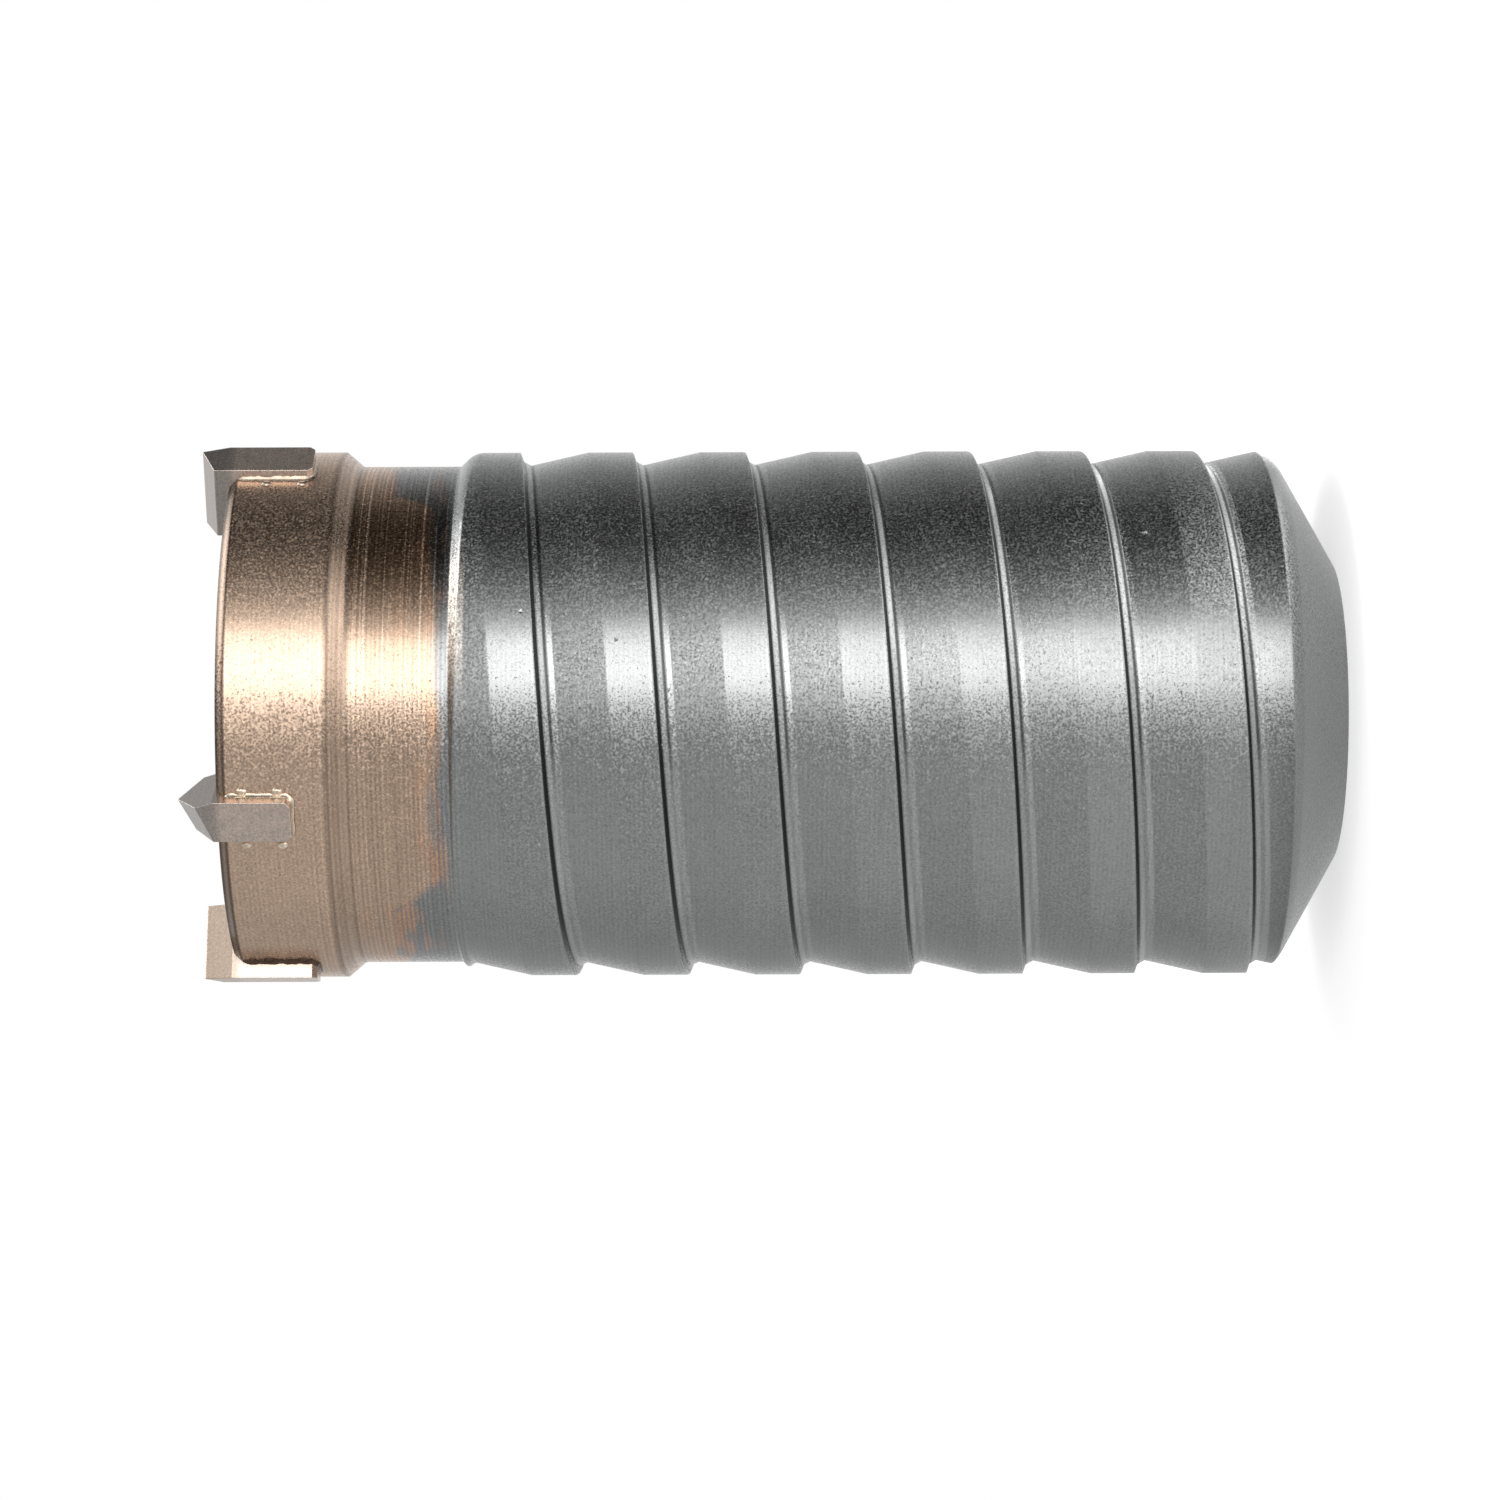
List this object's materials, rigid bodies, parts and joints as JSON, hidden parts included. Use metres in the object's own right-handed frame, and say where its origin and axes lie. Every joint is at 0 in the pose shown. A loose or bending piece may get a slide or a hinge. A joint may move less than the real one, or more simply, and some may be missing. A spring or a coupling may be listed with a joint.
{
  "type": "percussion core bit",
  "caption": "Hollow spiral crown for cutting round holes in masonry with a rotary hammer: steel body with a dust spiral, brazed carbide teeth and a threaded back wall.",
  "frame": {"origin": "centre of the flat back face, on the crown's axis", "axes": "+Z runs along the axis from the back face to the teeth; +X and +Y are across it, and the crown stands on its back face"},
  "size_m": [0.0472, 0.0474, 0.1009],
  "materials": {
    "steel": "fine blasted, heat tinted bronze at the head",
    "carbide": "satin, ground",
    "braze": "bright, lightly tarnished"
  },
  "bodies": {
    "root": {"crown_body": "steel", "carbide_tooth_1": "carbide", "carbide_tooth_2": "carbide", "carbide_tooth_3": "carbide", "carbide_tooth_4": "carbide", "carbide_tooth_5": "carbide", "braze_seam_1": "braze", "braze_seam_2": "braze", "braze_seam_3": "braze", "braze_seam_4": "braze", "braze_seam_5": "braze"}
  },
  "joints": []
}
